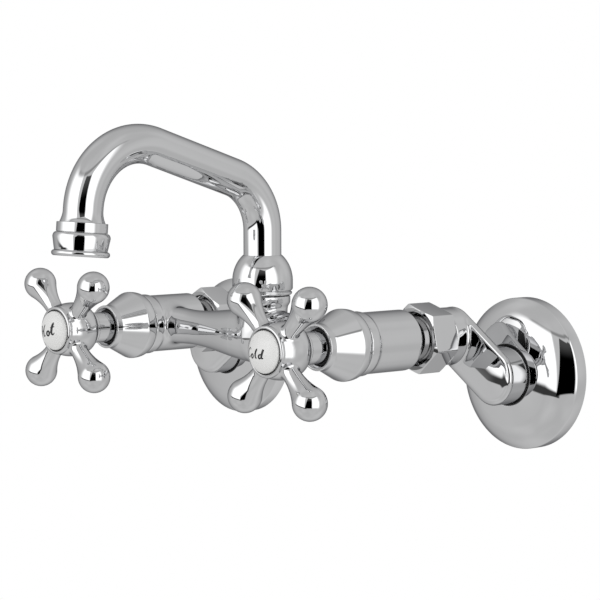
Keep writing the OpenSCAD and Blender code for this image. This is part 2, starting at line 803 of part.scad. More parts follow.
module spout_ferrule() {
    edge = 0.4;
    color(chrome) at_outlet() rotate_extrude() polygon([
        [tube_r + run_gap, ferrule_s], [ferrule_r - edge, ferrule_s], [ferrule_r, ferrule_s + edge],
        [ferrule_r, thread_s], [ferrule_thread_r, thread_s], [ferrule_thread_r, thread_end_s],
        [tube_r - 1, thread_end_s], [tube_r - 1, ferrule_s + spigot_len + end_gap],
        [tube_r + run_gap, ferrule_s + spigot_len + end_gap]
    ]);
}

module aerator_shell() {
    bead_s = shell_end_s - bead_h;
    bore_r = ferrule_thread_r + run_gap;
    color(chrome) at_outlet() rotate_extrude() polygon(concat(
        [[bore_r, shell_s], [ferrule_r - 0.1, shell_s]],
        arc(ferrule_r, shell_s + 2.2, shell_r - ferrule_r, 2.2, -80, 0, 6),
        [[shell_waist_r + 0.25, bead_s - 1], [shell_waist_r, bead_s - 0.2]],
        arc(bead_r - bead_h / 2, bead_s + bead_h / 2, bead_h / 2, bead_h / 2, -78, 80, 8),
        [[bore_r - 1.3, shell_end_s], [bore_r - 1.3, shell_end_s - lip_t], [bore_r, shell_end_s - lip_t]]
    ));
}

module aerator_washer() {
    color(rubber) at_outlet()
        ring(ferrule_thread_r - 0.2, tube_r - 1, thread_end_s + end_gap, thread_end_s + end_gap + washer_t);
}

module aerator_insert() {
    end_s = shell_end_s - lip_t - end_gap;
    color(nylon) at_outlet() difference() {
        rod(ferrule_thread_r - 0.2, insert_s, end_s);
        for (row = [0:2]) for (i = [0:max(row * 6 - 1, 0)]) rotate([0, 0, row == 0 ? 0 : i * 60 / row])
            translate([row * 2.7, 0, 0]) rod(jet_r, insert_s - 1, end_s + 1);
    }
}

mixer_body();
spout_tube();
spout_nut();
spout_glide_ring();
spout_o_rings();
spout_ferrule();
aerator_shell();
aerator_insert();
aerator_washer();
on_valve(hot) bonnet();  // hot_bonnet
on_valve(hot) cartridge_body();  // hot_cartridge_body
on_valve(hot) spindle();  // hot_spindle
on_valve(hot) turning_disc();  // hot_turning_disc
on_valve(hot) fixed_disc();  // hot_fixed_disc
on_valve(hot) seat_washer();  // hot_seat_washer
on_valve(hot) spindle_o_ring();  // hot_spindle_o_ring
on_valve(hot) cross_handle();  // hot_cross_handle
on_valve(hot) handle_screw();  // hot_handle_screw
on_valve(hot) index_button();  // hot_index_button
on_valve(hot) union_nut();  // hot_union_nut
on_valve(hot) union_washer();  // hot_union_washer
on_valve(hot) snap_ring();  // hot_snap_ring
on_inlet(hot) swing_arm();  // hot_swing_arm
on_inlet(hot) at_offset() wall_flange();  // hot_wall_flange
on_valve(cold) bonnet();  // cold_bonnet
on_valve(cold) cartridge_body();  // cold_cartridge_body
on_valve(cold) spindle();  // cold_spindle
on_valve(cold) turning_disc();  // cold_turning_disc
on_valve(cold) fixed_disc();  // cold_fixed_disc
on_valve(cold) seat_washer();  // cold_seat_washer
on_valve(cold) spindle_o_ring();  // cold_spindle_o_ring
on_valve(cold) cross_handle();  // cold_cross_handle
on_valve(cold) handle_screw();  // cold_handle_screw
on_valve(cold) index_button();  // cold_index_button
on_valve(cold) union_nut();  // cold_union_nut
on_valve(cold) union_washer();  // cold_union_washer
on_valve(cold) snap_ring();  // cold_snap_ring
on_inlet(cold) swing_arm();  // cold_swing_arm
on_inlet(cold) at_offset() wall_flange();  // cold_wall_flange
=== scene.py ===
import math

import bpy
import numpy as np
from mathutils import Matrix, Vector


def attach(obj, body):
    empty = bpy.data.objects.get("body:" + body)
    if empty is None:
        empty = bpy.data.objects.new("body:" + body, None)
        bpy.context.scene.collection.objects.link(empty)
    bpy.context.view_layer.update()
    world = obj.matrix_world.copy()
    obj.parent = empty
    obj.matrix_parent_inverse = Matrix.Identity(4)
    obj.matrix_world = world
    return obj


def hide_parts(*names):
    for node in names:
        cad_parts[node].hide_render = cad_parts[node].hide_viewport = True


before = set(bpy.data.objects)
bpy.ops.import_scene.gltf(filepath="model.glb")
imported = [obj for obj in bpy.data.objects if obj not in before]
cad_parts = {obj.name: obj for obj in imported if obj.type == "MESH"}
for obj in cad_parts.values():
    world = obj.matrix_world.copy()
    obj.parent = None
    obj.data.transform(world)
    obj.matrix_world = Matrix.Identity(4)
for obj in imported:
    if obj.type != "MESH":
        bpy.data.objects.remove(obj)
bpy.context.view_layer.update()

MM = 0.001


# The camera stands to the right of the faucet, about 1.2 m away and a little
# above it, as the photograph's did.
camera_at = (0.841785, -0.815465, 0.096836)
camera_turn, camera_lift, camera_roll = 47.8179, 4.16864, -0.19678
bpy.ops.object.camera_add()
camera = bpy.context.object
camera.name = "camera"
camera.data.sensor_width = 36
camera.data.lens = 141.81
camera.data.clip_start = 0.05
camera.data.clip_end = 30
camera.matrix_world = (
    Matrix.Translation(camera_at)
    @ Matrix.Rotation(math.radians(camera_turn), 4, "Z")
    @ Matrix.Rotation(math.radians(90 - camera_lift), 4, "X")
    @ Matrix.Rotation(math.radians(camera_roll), 4, "Z")
)
bpy.context.scene.camera = camera
bpy.context.scene.view_settings.view_transform = "Standard"


# The studio: a white room round a pale grey light tent with two lit windows,
# one to each side of a black card that gives chrome its dark lines. The metal
# sees the tent, and the pale floor under the faucet takes its shadow.
class Shade:
    """An output in a material's nodes. Arithmetic on it adds Math nodes."""

    def __init__(self, tree, socket=None):
        self.tree = tree
        self.socket = socket

    def node(self, kind, settings=None, inputs=None, output=0):
        """Adds a node with these settings and inputs, and gives one of its outputs."""
        made = self.tree.nodes.new("ShaderNode" + kind)
        for name, value in (settings or {}).items():
            setattr(made, name, value)
        for name, value in (inputs or {}).items():
            if isinstance(value, Shade):
                self.tree.links.new(value.socket, made.inputs[name])
            else:
                made.inputs[name].default_value = value
        return Shade(self.tree, made.outputs[output] if made.outputs else None)

    def out(self, name):
        """Another output of the same node."""
        return Shade(self.tree, self.socket.node.outputs[name])

    def math(self, operation, *values):
        return self.node("Math", {"operation": operation}, dict(enumerate(values)))

    def rise(self, low, high, start=0.0, end=1.0):
        """Goes smoothly from start to end as this goes from low to high."""
        return self.node(
            "MapRange", {"interpolation_type": "SMOOTHSTEP"},
            {"Value": self, "From Min": low, "From Max": high, "To Min": start, "To Max": end})

    def within(self, low, low_end, high, high_end):
        """1 from low_end to high, and 0 below low and above high_end."""
        return self.rise(low, low_end) * (1 - self.rise(high, high_end))

    def noise(self, scale, detail, roughness=0.5):
        """Cloudy noise at this place, with that many clouds to a metre."""
        return self.node("TexNoise", inputs={
            "Vector": self, "Scale": scale, "Detail": detail, "Roughness": roughness}, output="Fac")

    def mix(self, first, second):
        """A colour that goes from first to second as this goes from 0 to 1."""
        return self.node("Mix", {"data_type": "RGBA"}, {
            "Factor": self, "A": first + (1,), "B": second + (1,)}, output=2)

    def bump(self, strength, distance):
        """A surface direction, with this as its relief."""
        return self.node("Bump", inputs={"Strength": strength, "Distance": distance, "Height": self})

    def __add__(self, other):
        return self.math("ADD", self, other)

    def __sub__(self, other):
        return self.math("SUBTRACT", self, other)

    def __rsub__(self, other):
        return self.math("SUBTRACT", other, self)

    def __mul__(self, other):
        return self.math("MULTIPLY", self, other)

    __radd__ = __add__
    __rmul__ = __mul__


def new_material(name):
    """A material with no nodes yet, and the object's own coordinates in it."""
    material = bpy.data.materials.new(name)
    material.use_nodes = True
    material.node_tree.nodes.clear()
    return material, Shade(material.node_tree).node("TexCoord", output="Object")


def put_on(material, surface):
    """Sends a shader to the material's output."""
    surface.node("OutputMaterial", inputs={"Surface": surface})
    return material


white = (1, 1, 1, 1)
room_light, room_light_seen = 0.7, 1.0
room = bpy.data.worlds.new("white_room")
bpy.context.scene.world = room
room.use_nodes = True
room.node_tree.nodes.clear()
rays = Shade(room.node_tree).node("LightPath", output="Is Camera Ray")
seen = rays.math("MAXIMUM", rays, rays.math(
    "MAXIMUM", rays.out("Is Glossy Ray"), rays.out("Is Transmission Ray")))
walls = seen.node("Background", inputs={
    "Color": white, "Strength": seen * (room_light_seen - room_light) + room_light})
walls.node("OutputWorld", inputs={"Surface": walls})

# The tent's pattern goes by two angles in degrees: turn, round the faucet from
# straight out of the wall towards the cold side, and lift, up from its level.
tent_centre, tent_r = (0.0, -0.09, 0.0), 1.3
card_side, card_lean, card_fade = 61, 0.3, 0.12
sill_slope, ridge_slope = 0.25, 0.2
cloth_light, window_light = 0.575, 0.85
seam_dark, sill_dark = 0.3, 0.92
tent_cloth, place = new_material("tent_cloth")
across = place.node("SeparateXYZ", inputs={0: place}, output="X")
turn = across.math("ARCTAN2", across, 0 - across.out("Y")) * (180 / math.pi)
height = across.out("Z") * (1 / tent_r)
lift = height.math("ARCSINE", height) * (180 / math.pi)
above_sill = lift + turn * sill_slope
past_card = turn - card_side
above_ridge = lift - past_card.math("ABSOLUTE", past_card) * ridge_slope
left_window = turn.within(-62, -28, 15, 20.5) * above_sill.rise(-16, -12.5) * (1 - lift.rise(34, 46))
right_window = (turn.within(card_side, 66, 98, 114) * lift.rise(-26, -14)
                * (1 - above_ridge.rise(32, 35)))
sill = turn.within(-66, -34, 24, 30) * above_sill.within(-20, -19, -16, -14)
card = ((turn - lift * card_lean).rise(24, 25) * (1 - turn.rise(card_side - 0.5, card_side + 0.5))
        * lift.rise(-24, -22) * (1 - above_ridge.rise(32, 34)) * (1 - card_fade * lift.rise(14, 34)))
seam = turn.within(-32, -18, 104, 120) * lift.within(38, 41, 42, 46)
folds = place.noise(1.1, 1.5).rise(0.3, 0.7, -0.05, 0.05)
glow = cloth_light + folds - seam_dark * seam + window_light * (left_window + right_window)
glow = glow * (1 - card) * (1 - sill_dark * sill)
put_on(tent_cloth, glow.node("Emission", inputs={"Color": white, "Strength": glow}))
bpy.ops.object.select_all(action="DESELECT")
bpy.ops.mesh.primitive_uv_sphere_add(segments=96, ring_count=48, radius=tent_r, location=tent_centre)
tent = bpy.context.object
tent.name = "light_tent"
tent.data.materials.append(tent_cloth)
tent.visible_camera = False
tent.visible_diffuse = False
tent.visible_shadow = False
tent.visible_transmission = False
tent.visible_volume_scatter = False

lamp_side, lamp_away, lamp_lift, lamp_power = 1.6, 2.0, 12, 9.0
for name, lamp_turn in (("window_light_left", -8), ("window_light_right", 92)):
    bpy.ops.object.light_add(type="AREA", radius=1)
    lamp = bpy.context.object
    lamp.name = name
    lamp.data.shape = "RECTANGLE"
    lamp.data.size = lamp_side
    lamp.data.size_y = lamp_side
    lamp.data.energy = lamp_power
    lamp.matrix_world = (
        Matrix.Translation(tent_centre)
        @ Matrix.Rotation(math.radians(lamp_turn), 4, "Z")
        @ Matrix.Rotation(math.radians(90 - lamp_lift), 4, "X")
        @ Matrix.Translation((0, 0, lamp_away))
    )
    lamp.visible_camera = False
    lamp.visible_glossy = False

floor_r, floor_z, floor_lift = 5.0, -1.2, 0.42
floor_paint, place = new_material("floor_paint")
mottle = place.noise(3.0, 3.0)
paint = mottle.node("BsdfDiffuse", inputs={"Color": mottle.mix((0.80, 0.80, 0.79), (0.82, 0.82, 0.82))})
rays = paint.node("LightPath", output="Is Camera Ray")
lit = rays.node("Emission", inputs={"Color": white, "Strength": rays * floor_lift})
put_on(floor_paint, lit.node("AddShader", inputs={0: paint, 1: lit}))
bpy.ops.object.select_all(action="DESELECT")
bpy.ops.mesh.primitive_circle_add(
    vertices=96, radius=floor_r, fill_type="NGON", location=(0, tent_centre[1], floor_z))
floor = bpy.context.object
floor.name = "floor"
floor.data.materials.append(floor_paint)
floor.visible_glossy = False


# The cast brass body: two valve barrels, the crossbar that bulges at the spout
# hub, and the hub, cast in one, polished and chromed, with soft corners. The
# barrels' tails carry the union nuts' pipe thread and a smooth neck.
sides = ((-1, "hot"), (1, "cold"))
valve_x = 76.2
tail_d, barrel_back_d, barrel_front_d = 44.7, 59.0, 91.5
barrel_r, barrel_lip_r, barrel_lip_d = 14.0, 14.7, 86.6
bar_d, bar_sag = 76.6, 2.2
bar_thin_r, bar_bulge, bar_bulge_len = 8.5, 4.5, 52
bar_flare, bar_flare_len, bar_flare_end = 0.6, 20, 69.2
hub_ball_r, hub_ball_h, hub_neck_r = 13.2, 13.4, 11.8
hub_lip_r, hub_lip_z, hub_top = 13.2, 14.6, 17.6
body_grain = 0.48


def corner_arc(corners):
    """The outline through corners (x, y), with a fillet where a corner also has a radius."""
    points = []
    for i, corner in enumerate(corners):
        at = Vector(corner[:2])
        if len(corner) == 2:
            points.append(tuple(at))
            continue
        before = (Vector(corners[i - 1][:2]) - at).normalized()
        after = (Vector(corners[(i + 1) % len(corners)][:2]) - at).normalized()
        half = before.angle(after) / 2
        middle = at + (before + after).normalized() * corner[2] / math.sin(half)
        start = at + before * corner[2] / math.tan(half) - middle
        end = at + after * corner[2] / math.tan(half) - middle
        first = math.atan2(start.y, start.x)
        swing = (math.atan2(end.y, end.x) - first + math.pi) % (2 * math.pi) - math.pi
        steps = max(3, round(abs(swing) / math.radians(12)))
        for k in range(steps + 1):
            a = first + swing * k / steps
            points.append((middle.x + corner[2] * math.cos(a), middle.y + corner[2] * math.sin(a)))
    return points


def arc(x, y, rx, ry, start, end, steps=12):
    """Points of an elliptical arc about (x, y), in degrees."""
    angles = [math.radians(start + (end - start) * i / steps) for i in range(steps + 1)]
    return [(x + rx * math.cos(a), y + ry * math.sin(a)) for a in angles]


def turned(name, outline, steps=128):
    """Spins an outline of (radius, height) round Z, as on a lathe."""
    bpy.ops.object.select_all(action="DESELECT")
    bpy.ops.mesh.primitive_circle_add(vertices=3, radius=MM)
    piece = bpy.context.object
    piece.name = name
    bpy.ops.object.mode_set(mode="EDIT")
    bpy.ops.mesh.merge(type="CENTER")
    bpy.ops.transform.translate(value=(outline[0][0] * MM, 0, outline[0][1] * MM))
    for (r0, h0), (r1, h1) in zip(outline, outline[1:]):
        bpy.ops.mesh.extrude_vertices_move(
            TRANSFORM_OT_translate={"value": ((r1 - r0) * MM, 0, (h1 - h0) * MM)})
    bpy.ops.mesh.select_all(action="SELECT")
    bpy.ops.mesh.spin(steps=steps, angle=2 * math.pi, center=(0, 0, 0), axis=(0, 0, 1))
    bpy.ops.mesh.select_all(action="SELECT")
    bpy.ops.mesh.remove_doubles(threshold=0.002 * MM)
    bpy.ops.mesh.normals_make_consistent(inside=False)
    bpy.ops.object.mode_set(mode="OBJECT")
    bpy.ops.object.shade_smooth_by_angle(angle=math.radians(30))
    return piece


def take(*pieces):
    """Selects these pieces alone, the first of them active."""
    bpy.ops.object.select_all(action="DESELECT")
    for piece in pieces:
        piece.select_set(True)
    bpy.context.view_layer.objects.active = pieces[0]


def settle(piece, *places):
    """Moves a piece by matrices and writes its place into its mesh."""
    for place in places:
        piece.matrix_world = place @ piece.matrix_world
    take(piece)
    bpy.ops.object.transform_apply(location=True, rotation=True, scale=True)
    return piece


def copies(piece, count):
    """A piece and its copies, each with its own mesh."""
    pieces = [piece]
    while len(pieces) < count:
        take(piece)
        bpy.ops.object.duplicate()
        pieces.append(bpy.context.object)
    return pieces


def pair(piece):
    """A piece and its copy, named for the valves, each as (side, valve, piece)."""
    name = piece.name
    both = [(side, valve, one) for (side, valve), one in zip(sides, copies(piece, 2))]
    for side, valve, one in both:
        one.name = valve + "_" + name
    return both


def shift(x, y, z):
    """A move in millimetres."""
    return Matrix.Translation((x * MM, y * MM, z * MM))


def spun(degrees, axis):
    """A turn about an axis."""
    return Matrix.Rotation(math.radians(degrees), 4, axis)


def joined(name, pieces):
    """Joins pieces into the first one."""
    take(*pieces)
    bpy.ops.object.join()
    pieces[0].name = name
    return pieces[0]


def smooth_near(piece, repeat, wanted=None):
    """Smooths the vertices that wanted picks from an array of places in millimetres."""
    count = len(piece.data.vertices)
    co = np.empty(count * 3)
    piece.data.vertices.foreach_get("co", co)
    picked = np.ones(count, bool) if wanted is None else wanted(co.reshape(-1, 3) / MM)
    take(piece)
    bpy.ops.object.mode_set(mode="EDIT")
    bpy.ops.mesh.select_all(action="DESELECT")
    bpy.ops.object.mode_set(mode="OBJECT")
    piece.data.vertices.foreach_set("select", picked)
    bpy.ops.object.mode_set(mode="EDIT")
    bpy.ops.mesh.vertices_smooth(factor=0.5, repeat=repeat)
    bpy.ops.object.mode_set(mode="OBJECT")


def cast(name, pieces, grain):
    """Melts overlapping pieces into one skin with a remesh of that grain, in millimetres."""
    piece = joined(name, pieces)
    melt = piece.modifiers.new("melt", "REMESH")
    melt.mode = "VOXEL"
    melt.voxel_size = grain * MM
    melt.use_smooth_shade = True
    bpy.ops.object.modifier_apply(modifier=melt.name)
    smooth_near(piece, 3)
    return piece


def on_valve(side):
    """From a valve's own axis, its +Z pointing out of the wall, to its place."""
    return shift(side * valve_x, 0, 0) @ spun(90, "X")


def dress(piece, material, body, slot, *nodes):
    """Gives a piece its finish and its body, and has it stand for CAD nodes."""
    piece.data.materials.clear()
    piece.data.materials.append(material)
    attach(piece, body)
    if nodes:
        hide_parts(*nodes)


def ease(t):
    """Falls smoothly from 1 to 0 as t goes from 0 to 1."""
    return (1 + math.cos(math.pi * min(max(t, 0), 1))) / 2


def bar_radius(s):
    """The crossbar's radius at s from the hub's axis."""
    bulge = bar_bulge * ease(s / bar_bulge_len)
    return bar_thin_r + bulge + bar_flare * ease((bar_flare_end - s) / bar_flare_len)


# Chrome over polished brass: a mirror, with a faint haze from wiping and dust
# that is a little duller in patches.
chrome, place = new_material("polished_chrome")
specks = place.noise(900.0, 2.0)
wiped = place.noise(55.0, 5.0, 0.6).rise(0.45, 0.75) * 0.6 + specks.rise(0.55, 0.8) * 0.4
ripple = specks.bump(0.05, 0.00002)
put_on(chrome, ripple.node("BsdfPrincipled", inputs={
    "Base Color": wiped.mix((0.785, 0.788, 0.795), (0.755, 0.758, 0.765)), "Metallic": 1.0,
    "Roughness": wiped * 0.035 + 0.012, "Specular Tint": (0.3, 0.3, 0.31, 1), "Normal": ripple}))

barrel_outline = corner_arc([
    (0, barrel_back_d), (barrel_r, barrel_back_d, 0.9), (barrel_r, barrel_lip_d - 1, 2.0),
    (barrel_lip_r, barrel_lip_d, 1.0), (barrel_lip_r, barrel_front_d, 0.3), (0, barrel_front_d)])
bar_outline = [(0, 0)] + [(bar_radius(s), s) for s in np.linspace(0, valve_x, 60)] + [(0, valve_x)]
bar_tilt = 90 - math.degrees(math.atan(bar_sag / valve_x))
hub_outline = (
    [(0, -bar_sag - hub_ball_h)] + arc(0, -bar_sag, hub_ball_r, hub_ball_h, -88, 0, 20)
    + [(12.9, 2.4), (12.3, 5.0), (hub_neck_r + 0.05, 7.0), (hub_neck_r, 8.6), (hub_neck_r, 11.2),
       (12.1, 12.6), (12.9, 13.7)]
    + corner_arc([(12.9, 13.7), (hub_lip_r, hub_lip_z, 0.4), (hub_lip_r, hub_top, 0.3), (0, hub_top)])[1:])
castings = [settle(barrel, on_valve(side))
            for side, valve, barrel in pair(turned("barrel", barrel_outline, 160))]
castings += [settle(bar, shift(0, -bar_d, -bar_sag) @ spun(side * bar_tilt, "Y"))
             for side, valve, bar in pair(turned("bar", bar_outline, 128))]
castings += [settle(turned("hub", hub_outline, 128), shift(0, -bar_d, 0))]
body = cast("chrome_body", castings, body_grain)


def where_barrel_meets_bar(at):
    bar_end_r, reach = 9.3, 2.6
    from_axis = np.hypot(np.abs(at[:, 0]) - valve_x, at[:, 2])
    from_bar = np.hypot(at[:, 1] + bar_d, at[:, 2])
    return ((np.abs(from_axis - barrel_r) < reach) & (np.abs(from_bar - bar_end_r) < reach)
            & (np.abs(at[:, 0]) < valve_x))


def where_bar_meets_hub(at):
    return (np.hypot(at[:, 0], at[:, 1] + bar_d) < 17) & (at[:, 2] > -13) & (at[:, 2] < 12)


smooth_near(body, 70, where_barrel_meets_bar)
smooth_near(body, 30, where_bar_meets_hub)
dress(body, chrome, "mixer", "chrome", "mixer_body")


def thread(outer, depth, start, end, pitch):
    """The outline of a thread, cut as rings."""
    points = []
    for i in range(int((end - start) / pitch)):
        at = start + i * pitch
        points += [(outer - depth, at), (outer - depth, at + 0.15 * pitch),
                   (outer, at + 0.47 * pitch), (outer, at + 0.63 * pitch)]
    return points + [(outer - depth, end)]


def plain_finish(name, dark, light, metallic, rough, grain, bump):
    """A finish whose colour, roughness and surface vary with a fine grain."""
    material, place = new_material(name)
    grit = place.noise(grain, 4.0)
    relief = grit.bump(bump, 0.00005)
    return put_on(material, relief.node("BsdfPrincipled", inputs={
        "Base Color": grit.mix(dark, light), "Metallic": metallic, "Roughness": grit * 0.15 + rough,
        "Normal": relief}))


# Painted shade: the tails' thread and neck get a dark dull plating that stands in for the shade deep in the
# gap between the barrel and the union nut.
dull_plating_painted_shade = plain_finish(
    "dull_plating_painted_shade", (0.30, 0.30, 0.305), (0.40, 0.40, 0.405), 1.0, 0.12, 500.0, 0.15)
pipe_pitch, thread_depth = 1.81, 1.0
tail_r, tail_neck_r, tail_bore_r, thread_end_d = 10.45, 9.7, 7.0, 53.4
tail_outline = (
    [(tail_bore_r, tail_d), (9.6, tail_d)]
    + thread(tail_r, thread_depth, tail_d + 0.4, thread_end_d, pipe_pitch)
    + [(tail_neck_r, thread_end_d + 0.6), (tail_neck_r, barrel_back_d - 0.8), (10.4, barrel_back_d + 1),
       (tail_bore_r, barrel_back_d + 1), (tail_bore_r, tail_d)])
for side, valve, tail in pair(turned("tail_thread", tail_outline)):
    settle(tail, on_valve(side))
    dress(tail, dull_plating_painted_shade, "mixer", "chrome")


# The inlet arms: forged brass links that swing on the union joint and carry
# the wall flange on a turned collar. Each is a flat pillow with a round stem on
# it, and a soft fillet where the two meet.
arm_end_d, stem_top_d = 42.7, 36.4
link_back_d, link_front_d, inside_link_d = 23.8, 28.2, 25.0
arm_dx, arm_dy = 24.515, -17.293
arm_r, link_len = 13.4, math.hypot(arm_dx, arm_dy)
link_edge, shoulder_r, shoulder_h = 1.4, 3.6, 2.8
link_crown, link_crown_r = 0.5, 9
lean_up, lean_along = 1.5, 0.9
spigot_r, spigot_bore_r, clip_groove_r = 8.9, 6, 8.1
collar_r, collar_back_d, socket_r, socket_end_d = 13.5, 1.0, 9.5, 14.0
arm_grain = 0.4


def link_outline():
    """The outline of one round end of the link, with a crowned front."""
    return ([(0, link_back_d)]
            + arc(arm_r - link_edge, link_back_d + link_edge, link_edge, link_edge, -90, 0, 5)
            + arc(arm_r - shoulder_r, link_front_d - shoulder_h, shoulder_r, shoulder_h, 0, 88, 16)
            + [(r, link_front_d + link_crown * (1 - (r / link_crown_r) ** 2))
               for r in np.linspace(link_crown_r - 0.4, 0, 12)])


def where_stem_meets_link(at):
    from_edge = np.abs(np.hypot(at[:, 0], at[:, 1]) - arm_r - 0.5)
    return (from_edge < 1.3) & (np.abs(at[:, 2] - link_front_d - link_crown) < 1.5)


def swing_arm():
    """The cold arm on its valve's own axis: the link, the spigot and the wall socket."""
    link = turned("link", link_outline(), 144)
    edge_d = link_back_d + link_edge
    for vertex in link.data.vertices:
        lean = max(0, (vertex.co.z / MM - edge_d) / (link_front_d - edge_d))
        vertex.co.y += lean_up * MM * lean * math.hypot(vertex.co.x, vertex.co.y) / (arm_r * MM)
        if vertex.co.x > 0.1 * MM:
            vertex.co.x += (link_len + lean_along * lean) * MM
    settle(link, spun(math.degrees(math.atan2(arm_dy, arm_dx)), "Z"))
    stem = turned("stem", corner_arc([
        (0, inside_link_d), (arm_r, inside_link_d), (arm_r, stem_top_d, 0.8), (0, stem_top_d)]), 144)
    link = cast("link", [link, stem], arm_grain)
    smooth_near(link, 8, lambda at: at[:, 2] < 32)
    smooth_near(link, 12, where_stem_meets_link)
    spigot = turned("spigot", corner_arc([
        (spigot_bore_r, 34), (spigot_r, 34), (spigot_r, 40), (clip_groove_r, 40), (clip_groove_r, 41.5),
        (spigot_r, 41.5), (spigot_r, arm_end_d, 0.2), (spigot_bore_r, arm_end_d), (spigot_bore_r, 34)]), 96)
    socket = [(socket_r - 1, collar_back_d)] + thread(
        socket_r, thread_depth, collar_back_d + 0.4, socket_end_d - 0.4, pipe_pitch)
    collar = turned("collar", corner_arc([
        (socket_r, collar_back_d), (collar_r, collar_back_d, 0.3), (collar_r, inside_link_d),
        (0, inside_link_d), (0, socket_end_d), (socket_r - 0.9, socket_end_d)])
        + socket[::-1] + [(socket_r, collar_back_d)], 128)
    settle(collar, shift(arm_dx, arm_dy, 0))
    return joined("inlet_arm", [link, spigot, collar])


def mirrored(piece):
    """Mirrors a piece in X and turns its faces out again."""
    settle(piece, Matrix.Scale(-1, 4, (1, 0, 0)))
    bpy.ops.object.mode_set(mode="EDIT")
    bpy.ops.mesh.select_all(action="SELECT")
    bpy.ops.mesh.normals_make_consistent(inside=False)
    bpy.ops.object.mode_set(mode="OBJECT")
    return piece


for side, valve, arm in pair(swing_arm()):
    if valve == "hot":
        mirrored(arm)
    settle(arm, on_valve(side))
    dress(arm, chrome, valve + "_arm", "chrome", valve + "_swing_arm")


# The union nuts: chromed brass hexagons with round chamfers at both ends. Each
# hangs on its arm's spigot and screws on the barrel's tail.
nut_af, nut_len, nut_back_d = 28.6, 14.5, 37.5
nut_front_d = nut_back_d + nut_len
nut_hole_r, nut_thread_r, nut_mouth_r = 9.05, 10.5, 12.4
nut_bevel, past_corners = 0.45, 17.0
nut_turn = {"hot": 0, "cold": 12}
nut_outline = [
    (nut_hole_r, nut_back_d - 1), (14.0, nut_back_d - 1), (14.2, nut_back_d),
    (past_corners, nut_back_d + 0.95), (past_corners, nut_front_d - 1.0), (14.3, nut_front_d),
    (14.2, nut_front_d + 1), (nut_mouth_r + 0.3, nut_front_d + 1), (nut_mouth_r + 0.3, nut_front_d - 0.2),
    (nut_mouth_r, nut_front_d - 0.5), (nut_mouth_r, nut_front_d - 3.5), (nut_thread_r, nut_front_d - 4.6),
    (nut_thread_r, 40), (nut_hole_r, 40), (nut_hole_r, nut_back_d - 1)]
bpy.ops.object.select_all(action="DESELECT")
bpy.ops.mesh.primitive_cylinder_add(
    vertices=6, radius=nut_af / 2 / math.cos(math.pi / 6) * MM, depth=nut_len * MM,
    location=(0, 0, (nut_back_d + nut_len / 2) * MM))
hexagon = bpy.context.object
hexagon.name = "hex_nut"
settle(hexagon)
bpy.ops.object.mode_set(mode="EDIT")
bpy.ops.mesh.select_all(action="DESELECT")
bpy.ops.object.mode_set(mode="OBJECT")
for edge in hexagon.data.edges:
    a, b = (hexagon.data.vertices[v].co for v in edge.vertices)
    edge.select = abs(a.z - b.z) > MM
bpy.ops.object.mode_set(mode="EDIT")
bpy.ops.mesh.select_mode(type="EDGE")
bpy.ops.mesh.bevel(offset=nut_bevel * MM, segments=3)
bpy.ops.mesh.select_mode(type="VERT")
bpy.ops.object.mode_set(mode="OBJECT")
cutter = turned("nut_shape", nut_outline, 144)
cut = hexagon.modifiers.new("cut", "BOOLEAN")
cut.operation = "INTERSECT"
cut.solver = "EXACT"
cut.object = cutter
take(hexagon)
bpy.ops.object.modifier_apply(modifier=cut.name)
bpy.data.objects.remove(cutter)
bpy.ops.object.shade_smooth_by_angle(angle=math.radians(25))
for side, valve, nut in pair(hexagon):
    settle(nut, spun(nut_turn[valve], "Z"), on_valve(side))
    dress(nut, chrome, valve + "_nut", "chrome", valve + "_union_nut")


# The wall flanges: spun brass covers, chromed, that slide on the arms' collars
# and hide the pipes' holes in the wall. A black rubber ring grips the collar; its
# black also stands in for the shade in the gap round the collar (painted shade).
flange_r, flange_h, flange_rim, flange_wall = 35.2, 14.2, 5.9, 1.6
dome_r, flat_r = 20.66, 18.8
hole_r, brow_slope = 14.3, 11
brow_r = flat_r + dome_r * math.sin(math.radians(brow_slope))
brow_h = flange_h - dome_r * (1 - math.cos(math.radians(brow_slope)))
hole_h = brow_h + (brow_r - hole_r) * math.tan(math.radians(brow_slope))
flange_outline = (
    [(flange_r, 0.0), (flange_r, flange_rim), (flange_r - 0.12, flange_rim + 0.42),
     (flange_r - 0.4, flange_rim + 0.8)]
    + arc(flat_r, flange_h - dome_r, dome_r, dome_r, 41.3, 90 - brow_slope, 24)
    + corner_arc([(brow_r, brow_h), (hole_r, hole_h, 0.35), (hole_r, hole_h - 3.0),
                  (brow_r, brow_h - flange_wall)])[1:]
    + arc(flat_r, flange_h - dome_r, dome_r - flange_wall, dome_r - flange_wall, 88 - brow_slope, 42, 18)
    + [(flange_r - flange_wall, flange_rim - 0.6), (flange_r - flange_wall, 0.0), (flange_r, 0.0)])
grip_r, grip_edge_r, grip_back_d = 13.55, 14.27, 12.0
grip_outline = [
    (grip_r, grip_back_d), (grip_edge_r, grip_back_d), (grip_edge_r, hole_h - 0.5), (13.9, hole_h - 0.35),
    (grip_r, hole_h - 0.6), (grip_r, grip_back_d)]
rubber = plain_finish("black_rubber", (0.015, 0.015, 0.016), (0.035, 0.035, 0.036), 0.0, 0.55, 900.0, 0.4)
for side, valve, cover in pair(turned("wall_cover", flange_outline, 160)):
    settle(cover, shift(side * arm_dx, arm_dy, 0), on_valve(side))
    dress(cover, chrome, valve + "_flange", "chrome", valve + "_wall_flange")
# Painted shade: the black grip ring fills the gap between each collar and its flange's hole.
for side, valve, grip in pair(turned("cover_grip_painted_shade", grip_outline)):
    settle(grip, shift(side * arm_dx, arm_dy, 0), on_valve(side))
    dress(grip, rubber, valve + "_flange", "rubber")
